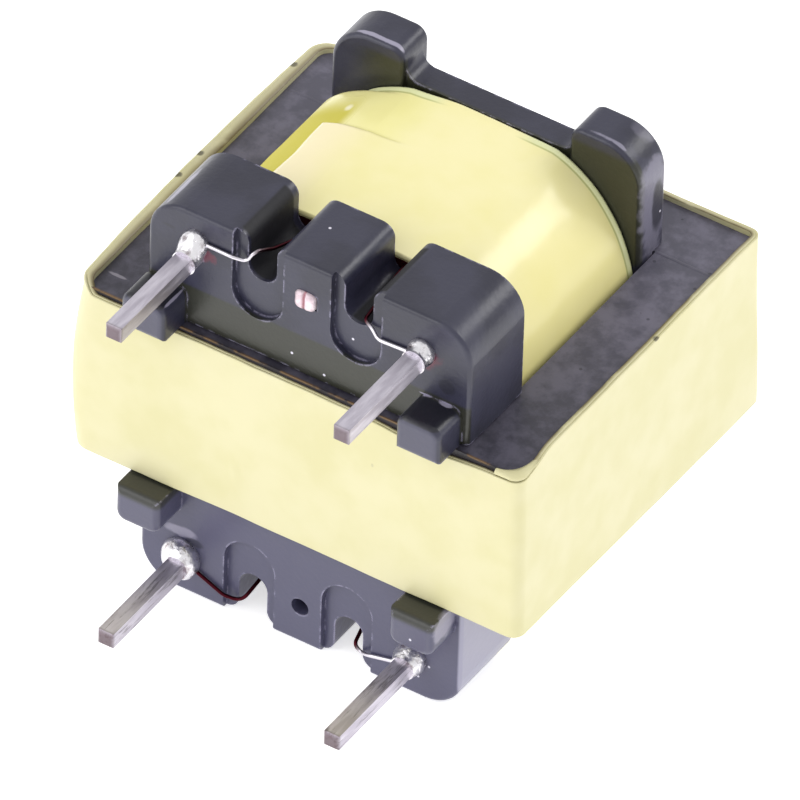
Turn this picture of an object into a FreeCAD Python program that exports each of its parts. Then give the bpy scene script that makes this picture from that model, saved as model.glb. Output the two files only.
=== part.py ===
import FreeCAD, Part
import math
import os
import Sketcher

# A small laminated transformer for a printed board, lying on its side.
# Z is up, X runs along a row of pins, and the pins point along -Y.
# The origin is under the middle of the part, on the surface that it lies on.

SIZES = {
    # laminated core, an E and an I sheet in each layer
    "coreWidth": 14.0,
    "coreDepth": 12.0,
    "tongueWidth": 4.0,
    "legWidth": 1.9,
    "yokeDepth": 2.0,
    "sheetThickness": 0.35,
    "sheetPitch": 0.3625,
    "layerPairs": 8,
    "buttGap": 0.03,
    # insulating tape round the core, its edges up and down from the middle
    "tapeThickness": 0.07,
    "tapeStep": 0.1,
    "tapeFrontTop": 2.72,
    "tapeRearTop": 3.02,
    "tapeFrontBottom": 2.87,
    "tapeRearBottom": 3.04,
    "tapeCorner": 0.14,
    # bobbin tube and flanges
    "coreClearance": 0.05,
    "tubeWall": 0.42,
    "frontFlange": 0.9,
    "rearFlange": 0.75,
    "rearClearance": 0.1,
    # terminal rails, their heights measured from the middle of the coil
    "railOverhang": 0.2,
    "railSetback": 0.25,
    "railReach": 6.9,
    "railCorner": 1.15,
    "railEdge": 0.13,
    "lobeCorner": 0.42,
    "notchCentre": 1.57,
    "notchWidth": 0.92,
    "notchShift": -0.08,
    "notchFloor": 5.4,
    "pocketCentre": 1.6,
    "pocketWidth": 1.65,
    "pocketFloor": 4.15,
    "pocketDepth": 0.2,
    # seating tabs on the rails
    "tabInset": 0.06,
    "tabWidth": 1.42,
    "tabShift": -0.17,
    "tabHeight": 1.2,
    "tabLength": 1.2,
    "tabCorner": 0.32,
    "tabEdge": 0.2,
    # rear wall between and under the horns
    "wallDrop": 1.07,
    "wallSetback": 0.17,
    "wallDepth": 0.85,
    "hornInner": 2.72,
    "hornDepth": 1.32,
    "hornCorner": 1.25,
    "hornNeck": 0.45,
    "hornEdge": 0.13,
    # pins
    "pinSide": 0.5,
    "pinPitch": 7.4,
    "rowSpacing": 11.2,
    "pinLength": 4.2,
    "pinInsert": 1.9,
    "pinTip": 0.1,
    "stubSide": 0.7,
    "stubProud": 0.12,
    "stubShift": -0.12,
    "stubEdge": 0.04,
    "holeWidth": 0.56,
    # windings
    "coilGap": 0.03,
    "primaryBuild": 0.95,
    "barrierThickness": 0.07,
    "coilInset": 0.1,
    "coilRise": 2.966,
    "coilTape": 0.12,
    "coilOverlap": 4.35,
    "shoulderWidth": 3.2,
    "shoulderReach": 4.6,
    # soldered ends
    "leadWidth": 0.11,
    "leadClearance": 0.02,
    "solderFilm": 0.02,
}

doc = FreeCAD.newDocument("board_transformer")
sheet = doc.addObject("Spreadsheet::Sheet", "sizes")
for row, (alias, number) in enumerate(SIZES.items(), start=1):
    sheet.set(f"A{row}", alias)
    sheet.set(f"B{row}", str(number))
    sheet.setAlias(f"B{row}", alias)
doc.recompute()


class Size:
    """A length worked out from the sheet: its number and its expression."""

    def __init__(self, number, text):
        self.number = number
        self.text = text

    def __add__(self, other):
        other = as_size(other)
        return Size(self.number + other.number, f"({self.text} + {other.text})")

    def __sub__(self, other):
        other = as_size(other)
        return Size(self.number - other.number, f"({self.text} - {other.text})")

    def __mul__(self, other):
        other = as_size(other)
        return Size(self.number * other.number, f"({self.text} * {other.text})")

    def __truediv__(self, other):
        other = as_size(other)
        return Size(self.number / other.number, f"({self.text} / {other.text})")

    def __neg__(self):
        return self * -1


def as_size(value):
    if isinstance(value, Size):
        return value
    return Size(float(value), f"({value})")


def size(alias):
    return Size(float(sheet.get(alias)), f"sizes.{alias}")


# All is modelled from the middle of the core, then moved so that the origin
# is under the middle of the whole part, pins and tape included.
lift = size("railReach")
forward = (size("pinLength") - size("railSetback") - size("tapeThickness") * 2) / 2
core_half = (size("sheetPitch") * (size("layerPairs") * 2 - 1) + size("sheetThickness")) / 2
window_half = size("coreWidth") / 2 - size("legWidth")
yoke_face = size("coreDepth") / 2 - size("yokeDepth")
over_core = core_half + size("coreClearance")
flange_half = window_half - size("coreClearance")
front_inner = -(yoke_face - size("coreClearance") - size("frontFlange"))
front_outer = front_inner - size("frontFlange")
rear_outer = yoke_face - size("rearClearance")
rear_inner = rear_outer - size("rearFlange")
rail_face = size("railSetback") - size("coreDepth") / 2
rail_half = flange_half + size("railOverhang")
tab_outer = rail_half - size("tabInset")
tab_inner = tab_outer - size("tabWidth")
tab_reach = over_core + size("tabHeight")
wall_reach = size("railReach") - size("wallDrop")
coil_half = flange_half - size("coilInset")
coil_reach = core_half + size("coilRise")
tube_x = size("tongueWidth") / 2 + size("coreClearance")
tube_z = core_half + size("coreClearance")
pin_x = size("pinPitch") / 2
pin_z = size("rowSpacing") / 2
notch_half = size("notchWidth") / 2
pocket_half = size("pocketWidth") / 2
ROWS = (("upper", 1), ("lower", -1))
SIDES = (("left", -1), ("right", 1))


def origin_plane(body, role):
    return next(plane for plane in body.Origin.OriginFeatures if plane.Role == role)


def new_body(label):
    body = doc.addObject("PartDesign::Body", label)
    body.Label = label
    return body


def new_sketch(body, name, at, role="XZ_Plane"):
    """An empty sketch facing -Y at depth `at`, or facing Z at height `at`."""
    sketch = body.newObject("Sketcher::SketchObject", name)
    sketch.AttachmentSupport = (origin_plane(body, role), [""])
    sketch.MapMode = "FlatFace"
    along = -at if role == "XZ_Plane" else at
    sketch.setExpression("AttachmentOffset.Base.z", along.text)
    return sketch


def tie(sketch, kind, geometry, end, place):
    """Ties one coordinate of a sketch point to the sheet."""
    rule = Sketcher.Constraint(kind, -1, 1, geometry, end, place.number)
    index = sketch.addConstraint(rule)
    sketch.setExpression(f"Constraints[{index}]", place.text)


def pin_point(sketch, geometry, end, across, up):
    """Places one point of a sketch, across and up from the origin."""
    tie(sketch, "DistanceX", geometry, end, across)
    tie(sketch, "DistanceY", geometry, end, up)


def polygon(sketch, corners):
    """Draws a closed outline of straight lines through the corners."""
    corners = [(as_size(across), as_size(up)) for across, up in corners]
    spots = [FreeCAD.Vector(across.number, up.number, 0) for across, up in corners]
    count = len(spots)
    first = sketch.GeometryCount
    for index in range(count):
        sketch.addGeometry(Part.LineSegment(spots[index], spots[(index + 1) % count]), False)
    for index in range(count):
        following = first + (index + 1) % count
        sketch.addConstraint(Sketcher.Constraint("Coincident", first + index, 2, following, 1))
    for index, (across, up) in enumerate(corners):
        pin_point(sketch, first + index, 1, across, up)
    return sketch


def rectangle(sketch, left, right, low, high):
    return polygon(sketch, [(left, low), (right, low), (right, high), (left, high)])


def slot(sketch, middle, half, floor, mouth):
    """Draws a U: two straight walls and a round floor that reaches `floor`."""
    sign = 1 if mouth.number > floor.number else -1
    centre = floor + half * sign
    circle_centre = FreeCAD.Vector(middle.number, centre.number, 0)
    circle = Part.Circle(circle_centre, FreeCAD.Vector(0, 0, 1), half.number)
    start, end = (math.pi, 2 * math.pi) if sign > 0 else (0, math.pi)
    arc = sketch.addGeometry(Part.ArcOfCircle(circle, start, end), False)
    first, second = middle - half * sign, middle + half * sign
    top_first = FreeCAD.Vector(first.number, mouth.number, 0)
    top_second = FreeCAD.Vector(second.number, mouth.number, 0)
    foot_first = FreeCAD.Vector(first.number, centre.number, 0)
    foot_second = FreeCAD.Vector(second.number, centre.number, 0)
    wall_up = sketch.addGeometry(Part.LineSegment(foot_second, top_second), False)
    lid = sketch.addGeometry(Part.LineSegment(top_second, top_first), False)
    wall_down = sketch.addGeometry(Part.LineSegment(top_first, foot_first), False)
    for one, other in ((arc, wall_up), (wall_up, lid), (lid, wall_down), (wall_down, arc)):
        sketch.addConstraint(Sketcher.Constraint("Coincident", one, 2, other, 1))
    pin_point(sketch, arc, 3, middle, centre)
    tie(sketch, "DistanceY", arc, 1, centre)
    tie(sketch, "DistanceY", arc, 2, centre)
    pin_point(sketch, lid, 1, second, mouth)
    pin_point(sketch, lid, 2, first, mouth)
    radius = sketch.addConstraint(Sketcher.Constraint("Radius", arc, half.number))
    sketch.setExpression(f"Constraints[{radius}]", half.text)
    return sketch


def rounded_tab(sketch, left, right, root, tip, radius):
    """Draws a tab: a rectangle with the two corners at its tip rounded."""
    sign = 1 if tip.number > root.number else -1
    first, second = (right, left) if sign > 0 else (left, right)
    level = tip - radius * sign
    middles = (first - radius * sign, second + radius * sign)

    def spot(across, height):
        return FreeCAD.Vector(across.number, height.number, 0)

    arcs = []
    for step, across in enumerate(middles):
        circle = Part.Circle(spot(across, level), FreeCAD.Vector(0, 0, 1), radius.number)
        start = math.pi * (1 - sign) / 2 + math.pi / 2 * step
        arcs.append(sketch.addGeometry(Part.ArcOfCircle(circle, start, start + math.pi / 2), False))
    lines = [sketch.addGeometry(Part.LineSegment(one, other), False) for one, other in (
        (spot(first, root), spot(first, level)), (spot(middles[0], tip), spot(middles[1], tip)),
        (spot(second, level), spot(second, root)), (spot(second, root), spot(first, root)))]
    chain = [lines[0], arcs[0], lines[1], arcs[1], lines[2], lines[3]]
    for one, other in zip(chain, chain[1:] + chain[:1]):
        sketch.addConstraint(Sketcher.Constraint("Coincident", one, 2, other, 1))
    for arc, across in zip(arcs, middles):
        pin_point(sketch, arc, 3, across, level)
        index = sketch.addConstraint(Sketcher.Constraint("Radius", arc, radius.number))
        sketch.setExpression(f"Constraints[{index}]", radius.text)
    tie(sketch, "DistanceY", arcs[0], 1, level)
    tie(sketch, "DistanceX", arcs[0], 2, middles[0])
    tie(sketch, "DistanceX", arcs[1], 1, middles[1])
    tie(sketch, "DistanceY", arcs[1], 2, level)
    pin_point(sketch, lines[0], 1, first, root)
    pin_point(sketch, lines[3], 1, second, root)
    return sketch


def round_hole(sketch, across, up, radius):
    centre = FreeCAD.Vector(across.number, up.number, 0)
    circle = Part.Circle(centre, FreeCAD.Vector(0, 0, 1), radius.number)
    ring = sketch.addGeometry(circle, False)
    pin_point(sketch, ring, 3, across, up)
    index = sketch.addConstraint(Sketcher.Constraint("Radius", ring, radius.number))
    sketch.setExpression(f"Constraints[{index}]", radius.text)
    return sketch


def finished(feature):
    """Recomputes the document and makes sure that the feature came out sound."""
    doc.recompute()
    failed = "Invalid" in feature.State or "Error" in feature.State
    if failed or feature.Shape.isNull() or not feature.Shape.isValid():
        raise RuntimeError(f"{feature.Name} failed")
    return feature


def pad(body, name, sketch, length):
    """Adds material from the sketch towards +Y, or upwards from a level one."""
    feature = body.newObject("PartDesign::Pad", name)
    feature.Profile = sketch
    feature.Reversed = sketch.AttachmentSupport[0][0].Role == "XZ_Plane"
    feature.setExpression("Length", length.text)
    return finished(feature)


def pocket(body, name, sketch, length):
    """Cuts from the sketch towards +Y and makes sure that material went."""
    before = body.Shape.Volume
    feature = body.newObject("PartDesign::Pocket", name)
    feature.Profile = sketch
    feature.setExpression("Length", length.text)
    finished(feature)
    if not body.Shape.Volume < before - 1e-6:
        raise RuntimeError(f"{name} cuts nothing")
    return feature


def cut_across(body, name, sketch, length):
    """Cuts through the body to both sides of a sketch that faces X."""
    before = body.Shape.Volume
    feature = body.newObject("PartDesign::Pocket", name)
    feature.Profile = sketch
    feature.SideType = "Symmetric"
    feature.setExpression("Length", length.text)
    finished(feature)
    if not body.Shape.Volume < before - 1e-6:
        raise RuntimeError(f"{name} cuts nothing")
    return feature


def edge_names(shape, test):
    return [f"Edge{index}" for index, edge in enumerate(shape.Edges, start=1) if test(edge)]


def dress_edges(body, name, kind, amount, test):
    """Rounds or bevels each edge of the body's shape that the test picks out."""
    last = body.Tip
    picked = edge_names(last.Shape, test)
    if not picked:
        raise RuntimeError(f"{name} finds no edge")
    feature = body.newObject(f"PartDesign::{kind}", name)
    feature.Base = (last, picked)
    feature.setExpression("Radius" if kind == "Fillet" else "Size", amount.text)
    return finished(feature)


def round_edges(body, name, radius, test):
    return dress_edges(body, name, "Fillet", radius, test)


def near(value, place):
    number = place.number if isinstance(place, Size) else place
    return abs(value - number) < 1e-4


def along_depth(edge, across, up):
    """True for a straight edge along Y at |X| = across and |Z| = up."""
    ends = [vertex.Point for vertex in edge.Vertexes]
    if len(ends) != 2 or not near(ends[0].x, ends[1].x) or not near(ends[0].z, ends[1].z):
        return False
    return near(abs(ends[0].x), across) and near(abs(ends[0].z), up)


def upright(edge, across, deep):
    """True for a straight edge along Z at |X| = across and |Y| = deep."""
    ends = [vertex.Point for vertex in edge.Vertexes]
    if len(ends) != 2 or not near(ends[0].x, ends[1].x) or not near(ends[0].y, ends[1].y):
        return False
    return near(abs(ends[0].x), across) and near(abs(ends[0].y), deep)


def make_bobbin():
    """One moulding: tube, two flanges, notched terminal rails and horns."""
    body = new_body("bobbin")
    depth = rear_outer - front_outer
    sketch = new_sketch(body, "tube_section", front_outer)
    wall = size("tubeWall")
    rectangle(sketch, -(tube_x + wall), tube_x + wall, -(tube_z + wall), tube_z + wall)
    pad(body, "tube", sketch, depth)
    round_edges(body, "tube_corners", wall,
                lambda edge: along_depth(edge, tube_x + wall, tube_z + wall))

    sketch = new_sketch(body, "front_flange_outline", front_outer)
    reach = size("railReach")
    rectangle(sketch, -flange_half, flange_half, -over_core, over_core)
    pad(body, "front_flange", sketch, size("frontFlange"))

    sketch = new_sketch(body, "rear_flange_outline", rear_inner)
    rectangle(sketch, -flange_half, flange_half, -over_core, over_core)
    pad(body, "rear_flange", sketch, size("rearFlange"))

    for row, up in ROWS:
        sketch = new_sketch(body, f"{row}_rail_outline", rail_face)
        rectangle(sketch, -rail_half, rail_half, over_core * up, reach * up)
        pad(body, f"{row}_rail", sketch, front_inner - rail_face)

        for side, hand in SIDES:
            sketch = new_sketch(body, f"{row}_{side}_horn_outline", rear_inner)
            inner, outer = size("hornInner") * hand, flange_half * hand
            rectangle(sketch, inner, outer, over_core * up, reach * up)
            pad(body, f"{row}_{side}_horn", sketch, size("hornDepth"))

    round_edges(body, "rail_corners", size("railCorner"),
                lambda edge: along_depth(edge, rail_half, reach))
    round_edges(body, "horn_corners", size("hornCorner"),
                lambda edge: along_depth(edge, flange_half, reach))
    round_edges(body, "horn_inner_corners", size("lobeCorner"),
                lambda edge: along_depth(edge, size("hornInner"), reach))

    def on_horn_face(edge):
        box = edge.BoundBox
        level = near(box.YMin, box.YMax)
        front_or_back = near(box.YMin, rear_inner) or near(box.YMin, rear_inner + size("hornDepth"))
        middle = edge.valueAt((edge.FirstParameter + edge.LastParameter) / 2)
        return level and front_or_back and abs(middle.z) > over_core.number + 0.01

    round_edges(body, "horn_face_edges", size("hornEdge"), on_horn_face)

    for row, up in ROWS:
        wall_half = size("hornInner") + size("hornNeck")
        sketch = new_sketch(body, f"{row}_rear_wall_outline", rear_inner + size("wallSetback"))
        rectangle(sketch, -wall_half, wall_half, over_core * up, wall_reach * up)
        pad(body, f"{row}_rear_wall", sketch, size("wallDepth"))

    def in_neck(edge):
        return along_depth(edge, size("hornInner"), wall_reach)

    round_edges(body, "horn_necks", size("hornNeck"), in_neck)

    for row, up in ROWS:
        for side, hand in SIDES:
            sketch = new_sketch(body, f"{row}_{side}_notch_outline", rail_face)
            mouth = (reach + size("notchWidth")) * up
            middle = size("notchCentre") * hand + size("notchShift")
            slot(sketch, middle, notch_half, size("notchFloor") * up, mouth)
            pocket(body, f"{row}_{side}_notch", sketch, front_inner - rail_face)

    def beside_notch(edge):
        return any(
            along_depth(edge, size("notchCentre") + size("notchShift") * hand + notch_half * step, reach)
            for hand in (-1, 1) for step in (-1, 1))

    round_edges(body, "lobe_corners", size("lobeCorner"), beside_notch)

    for row, up in ROWS:
        for side, hand in SIDES:
            sketch = new_sketch(body, f"{row}_{side}_pocket_outline", rail_face)
            mouth = (reach + size("notchWidth")) * up
            middle = size("pocketCentre") * hand + size("notchShift")
            slot(sketch, middle, pocket_half, size("pocketFloor") * up, mouth)
            pocket(body, f"{row}_{side}_pocket", sketch, size("pocketDepth"))

    sketch = new_sketch(body, "tongue_opening_outline", front_outer)
    rectangle(sketch, -tube_x, tube_x, -tube_z, tube_z)
    pocket(body, "tongue_opening", sketch, depth)

    for row, up in ROWS:
        for step in (-1, 0, 1):
            sketch = new_sketch(body, f"{row}_pin_hole_{step + 2}_outline", rail_face)
            place = pin_x * step
            grip = size("pinSide") / 2
            if step or up > 0:
                rectangle(sketch, place - grip, place + grip, pin_z * up - grip, pin_z * up + grip)
            else:
                round_hole(sketch, place, pin_z * up, size("holeWidth") / 2)
            pocket(body, f"{row}_pin_hole_{step + 2}", sketch, size("pinInsert"))

    def on_rail_face(edge):
        box = edge.BoundBox
        high = min(abs(box.ZMin), abs(box.ZMax)) > pin_z.number + size("pinSide").number
        return near(box.YMin, rail_face) and near(box.YMax, rail_face) and high

    round_edges(body, "rail_face_edges", size("railEdge"), on_rail_face)
    tab_start = rail_face - size("tabLength")
    for row, up in ROWS:
        for side, hand in SIDES:
            edges = [tab_inner * hand + size("tabShift"), tab_outer * hand + size("tabShift")]
            left, right = edges[::hand]
            sketch = new_sketch(body, f"{row}_{side}_tab_outline", tab_start)
            rounded_tab(sketch, left, right, over_core * up, tab_reach * up, size("tabCorner"))
            pad(body, f"{row}_{side}_tab", sketch, size("tabLength"))

    def on_tab_face(edge):
        return near(edge.BoundBox.YMin, tab_start) and near(edge.BoundBox.YMax, tab_start)

    round_edges(body, "tab_edges", size("tabEdge"), on_tab_face)
    return body


def e_outline(sketch, facing):
    """An E sheet with its back at -Y for facing -1 and at +Y for facing 1."""
    half = size("coreWidth") / 2
    back = size("coreDepth") / 2 * facing
    root = yoke_face * facing
    tip = (size("buttGap") - yoke_face) * facing
    tongue = size("tongueWidth") / 2
    return polygon(sketch, [
        (-half, back), (half, back), (half, tip), (window_half, tip),
        (window_half, root), (tongue, root), (tongue, tip), (-tongue, tip),
        (-tongue, root), (-window_half, root), (-window_half, tip), (-half, tip)])


def i_outline(sketch, facing):
    """An I sheet, the straight bar that closes the E sheet of its layer."""
    half = size("coreWidth") / 2
    return rectangle(sketch, -half, half, yoke_face * facing, size("coreDepth") / 2 * facing)


def make_sheets(label, outline, facing, first_layer):
    """Every second sheet of the core, each a thin solid on its own."""
    body = new_body(label)
    body.AllowCompound = True
    height = size("sheetPitch") * first_layer - core_half
    sketch = outline(new_sketch(body, f"{label}_outline", height, "XY_Plane"), facing)
    blank = pad(body, f"{label}_sheet", sketch, size("sheetThickness"))
    stack = body.newObject("PartDesign::LinearPattern", f"{label}_stack")
    stack.Originals = [blank]
    stack.Direction = (origin_plane(body, "Z_Axis"), [""])
    pairs = size("layerPairs")
    stack.setExpression("Length", (size("sheetPitch") * 2 * (pairs - 1)).text)
    stack.setExpression("Occurrences", pairs.text)
    body.Tip = stack
    finished(stack)
    return body


def trim(body, name, level_front, level_rear, far, width):
    """Cuts the body off past a slope that runs from its front to its rear."""
    sketch = new_sketch(body, f"{name}_outline", as_size(0), "YZ_Plane")
    polygon(sketch, [(-width, level_front), (width, level_rear), (width, far), (-width, far)])
    return cut_across(body, name, sketch, width * 4)


def make_core_tape():
    """Two turns of tape round the core, the outer one a little lower."""
    body = new_body("core_tape")
    half_x, half_y = size("coreWidth") / 2, size("coreDepth") / 2
    far = size("coreWidth")
    turn = size("tapeThickness")
    slope_ends = half_y + turn * 2
    for number, name in ((2, "outer_turn"), (1, "inner_turn")):
        out_x, out_y = half_x + turn * number, half_y + turn * number
        sketch = new_sketch(body, f"{name}_outline", -half_y, "XY_Plane")
        rectangle(sketch, -out_x, out_x, -out_y, out_y)
        pad(body, name, sketch, half_y * 2)
        round_edges(body, f"{name}_corners", size("tapeCorner") * number / 2,
                    lambda edge: upright(edge, out_x, out_y))
        step = size("tapeStep") * (2 - number)
        trim(body, f"{name}_top", size("tapeFrontTop") + step, size("tapeRearTop") + step,
             far, slope_ends)
    trim(body, "bottom", -size("tapeFrontBottom"), -size("tapeRearBottom"), -far, slope_ends)
    sketch = new_sketch(body, "core_opening_outline", half_y, "XY_Plane")
    rectangle(sketch, -half_x, half_x, -half_y, half_y)
    pocket(body, "core_opening", sketch, half_y * 2)
    return body


def coil_section(half_x, half_z, shoulder_x, shoulder_z):
    """A coil's outline across its axis: flat sides and elliptic shoulders."""
    x, z = half_x - shoulder_x, half_z - shoulder_z
    up, out = FreeCAD.Vector(0, 0, 1), FreeCAD.Vector(1, 0, 0)
    long_way, short_way = (up, out) if shoulder_z >= shoulder_x else (out, up)
    major, minor = max(shoulder_x, shoulder_z), min(shoulder_x, shoulder_z)
    edges = []
    for hand_x, hand_z in ((1, 1), (-1, 1), (-1, -1), (1, -1)):
        centre = FreeCAD.Vector(x * hand_x, 0, z * hand_z)
        side = centre + out * (shoulder_x * hand_x)
        crown = centre + up * (shoulder_z * hand_z)
        knee = centre + out * (shoulder_x * hand_x * math.sqrt(0.5)) \
            + up * (shoulder_z * hand_z * math.sqrt(0.5))
        if major - minor < 1e-6:
            edges.append(Part.Arc(side, knee, crown).toShape())
            continue
        ellipse = Part.Ellipse(centre + long_way * major, centre + short_way * minor, centre)
        start, end = ellipse.parameter(side), ellipse.parameter(crown)
        quarter = Part.ArcOfEllipse(ellipse, start, end)
        if (quarter.value((quarter.FirstParameter + quarter.LastParameter) / 2) - knee).Length > 0.1:
            quarter = Part.ArcOfEllipse(ellipse, end, start)
        edges.append(quarter.toShape())
    for hand in (1, -1):
        crown, side = up * (half_z * hand), out * (half_x * hand)
        edges.append(Part.LineSegment(crown - out * x, crown + out * x).toShape())
        edges.append(Part.LineSegment(side - up * z, side + up * z).toShape())
    return Part.Wire(Part.__sortEdges__(edges))


class Layer:
    """The outline of one layer of the coil, grown from the one beneath."""

    def __init__(self, half_x, half_z, shoulder_x, shoulder_z):
        self.sides = (half_x, half_z, shoulder_x, shoulder_z)

    def grown(self, thickness):
        return Layer(*(side + thickness for side in self.sides))

    def solid(self, start, length):
        face = Part.Face(coil_section(*self.sides))
        face.translate(FreeCAD.Vector(0, start, 0))
        return face.extrude(FreeCAD.Vector(0, length, 0))


def add_shape(label, shape):
    feature = doc.addObject("Part::Feature", label)
    feature.Label = label
    feature.Shape = shape
    return feature


def make_coil():
    """Primary, barrier tape, secondary and the outer wrap, ring round ring."""
    gap = size("coilGap").number
    start = front_inner.number + gap
    length = (rear_inner - front_inner).number - 2 * gap
    wall = size("tubeWall").number
    tape = size("coilTape").number
    corner = wall + gap
    tube = Layer(tube_x.number + wall + gap, tube_z.number + wall + gap, corner, corner)
    primary = tube.grown(size("primaryBuild").number)
    barrier = primary.grown(size("barrierThickness").number)
    wrap = Layer(coil_half.number, coil_reach.number,
                 size("shoulderWidth").number, size("shoulderReach").number)
    secondary = wrap.grown(-tape)
    overlap = wrap.grown(tape)
    rings = []
    inner = tube
    for label, outer in (("primary_winding", primary), ("barrier_tape", barrier),
                         ("secondary_winding", secondary)):
        ring = outer.solid(start, length).cut(inner.solid(start, length))
        rings.append(add_shape(label, ring))
        inner = outer
    cover = wrap.solid(start, length).fuse(overlap.solid(start, size("coilOverlap").number))
    cover = cover.cut(secondary.solid(start, length)).removeSplitter()
    rings.append(add_shape("coil_tape", cover))
    return rings


def make_pin(label, across, up, side, length):
    """A square pin with a chamfered tip, pressed into its hole in the rail."""
    body = new_body(label)
    reach = rail_face - length
    sketch = new_sketch(body, f"{label}_section", reach)
    half = side / 2
    rectangle(sketch, across - half, across + half, up - half, up + half)
    pad(body, f"{label}_shank", sketch, length + size("pinInsert"))
    dress_edges(body, f"{label}_tip", "Chamfer", size("pinTip"),
                lambda edge: near(edge.BoundBox.YMin, reach) and near(edge.BoundBox.YMax, reach))
    return body


def make_stub():
    """The upper middle pin, cut off and spread flat on the rail's face."""
    body = new_body("cut_pin_stub")
    side, head = size("pinSide") / 2, size("stubSide") / 2
    sketch = new_sketch(body, "stub_section", rail_face)
    rectangle(sketch, -side, side, pin_z - side, pin_z + side)
    pad(body, "stub_shank", sketch, size("pinInsert"))
    top = rail_face - size("stubProud")
    shift = size("stubShift")
    sketch = new_sketch(body, "stub_head_outline", top)
    rectangle(sketch, shift - head, shift + head, pin_z - head, pin_z + head)
    pad(body, "stub_head", sketch, size("stubProud"))
    round_edges(body, "stub_edges", size("stubEdge"),
                lambda edge: near(edge.BoundBox.YMin, top) and near(edge.BoundBox.YMax, top))
    return body


def rounded_path(points, bend):
    """Straight runs through the points, joined by arcs that touch them."""
    points = [FreeCAD.Vector(*point) for point in points]
    edges = []
    last = points[0]
    for before, corner, after in zip(points, points[1:], points[2:]):
        back, ahead = (before - corner).normalize(), (after - corner).normalize()
        turn = math.pi - back.getAngle(ahead)
        room = 0.45 * min((before - corner).Length, (after - corner).Length)
        radius = min(bend, room / math.tan(turn / 2))
        cut = radius * math.tan(turn / 2)
        start, end = corner + back * cut, corner + ahead * cut
        bisector = (back + ahead).normalize()
        centre = corner + bisector * (radius / math.cos(turn / 2))
        middle = centre - bisector * radius
        edges.append(Part.LineSegment(last, start).toShape())
        edges.append(Part.Arc(start, middle, end).toShape())
        last = end
    edges.append(Part.LineSegment(last, points[-1]).toShape())
    return Part.Wire(edges)


def round_wire(points, width, bend):
    """A wire of round section along the path, with a check on its volume."""
    path = rounded_path(points, bend)
    start, ahead = FreeCAD.Vector(*points[0]), FreeCAD.Vector(*points[1])
    section = Part.Wire(Part.Circle(start, ahead - start, width / 2).toShape())
    wire = path.makePipeShell([section], True, False)
    area = math.pi * width * width / 4
    if abs(wire.Volume - area * path.Length) > 0.03 * area * path.Length:
        raise RuntimeError("a lead has the wrong volume")
    return wire


# How far out each lead lies from the line of its row of pins: where it
# leaves its notch, on the pocket, on the rail's face and at its pin.
LEAD_HEIGHTS = {
    "upper_left": (0.8, 0.32, 0.45, 0.46),
    "upper_right": (0.12, -0.06, -0.18, -0.12),
    "lower_left": (0.7, 0.9, 0.74, 0.32),
    "lower_right": (0.6, 0.78, 0.56, 0.3),
}


def lead_route(hand, up, heights):
    """The bends of one lead, from the coil through its notch to its pin."""
    width = size("leadWidth").number
    coil = front_inner.number + size("coilGap").number
    off = width / 2 + size("leadClearance").number
    on_face = rail_face.number - off
    on_pocket = on_face + size("pocketDepth").number
    notch = size("notchCentre").number
    pocket_edge = size("pocketCentre").number + pocket_half.number
    row, over_floor = pin_z.number, size("notchFloor").number + width * 2
    leaving, on_way, facing, at_pin = (row + height for height in heights)
    past_rail = [
        (notch - width, coil, over_floor),
        (notch - width, coil - width * 4, over_floor),
        (notch + width, on_pocket + width * 7, (leaving + over_floor) / 2),
        (notch + notch_half.number / 2, on_pocket, leaving),
        (pocket_edge - width * 3.5, on_pocket, on_way),
        (pocket_edge - width * 0.5, on_face, facing),
    ]
    shift = size("notchShift").number
    route = [(across * hand + shift, deep, height * up) for across, deep, height in past_rail]
    beside_pin = pin_x.number - size("pinSide").number / 2 - off
    route.append((beside_pin * hand, on_face, at_pin * up))
    return route


def make_leads():
    """The fine winding ends, each held between the coil and its pin."""
    width = size("leadWidth").number
    leads = []
    for row, up in ROWS:
        for side, hand in SIDES:
            points = lead_route(hand, up, LEAD_HEIGHTS[f"{row}_{side}"])
            leads.append(add_shape(f"lead_{row}_{side}", round_wire(points, width, width * 4)))
    return leads


# Each joint's foot on the rail: how far it lies across and up from its pin,
# how far it spreads past the pin's side, and how far it climbs the pin.
SOLDER_FEET = {
    "upper_left": (0.01, 0.37, 0.18, 0.62),
    "upper_right": (0.0, 0.08, 0.17, 0.5),
    "lower_left": (-0.15, 0.0, 0.37, 0.6),
    "lower_right": (-0.02, 0.05, 0.25, 0.55),
}
# The joint's form on the way up its pin, as shares of its climb, of its
# foot's radius and of its foot's shift.
SOLDER_FORM = ((0.0, 0.92, 1.0), (0.3, 1.0, 0.8), (0.7, 0.86, 0.35))


def make_solder(name, across, up, leads):
    """A joint: solder drawn up round the pin, thickest near the rail."""
    shift_x, shift_z, spread, climb = SOLDER_FEET[name]
    half = size("pinSide").number / 2
    radius = half + spread
    neck = half * math.sqrt(2) + size("solderFilm").number
    rings = [(climb * up_share, radius * wide, shift_x * lean, shift_z * lean)
             for up_share, wide, lean in SOLDER_FORM]
    rings.append((climb, neck, 0.0, 0.0))
    wires = []
    for along, ring, off_x, off_z in rings:
        centre = FreeCAD.Vector(across.number + off_x, rail_face.number - along, up.number + off_z)
        wires.append(Part.Wire(Part.Circle(centre, FreeCAD.Vector(0, -1, 0), ring).toShape()))
    blob = Part.makeLoft(wires, True, False)
    corner = FreeCAD.Vector(across.number - half, rail_face.number - 2 * climb, up.number - half)
    blob = blob.cut(Part.makeBox(2 * half, 3 * climb, 2 * half, corner))
    for lead in leads:
        blob = blob.cut(lead.Shape)
    return add_shape(f"solder_{name}", max(blob.Solids, key=lambda solid: solid.Volume))


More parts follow.
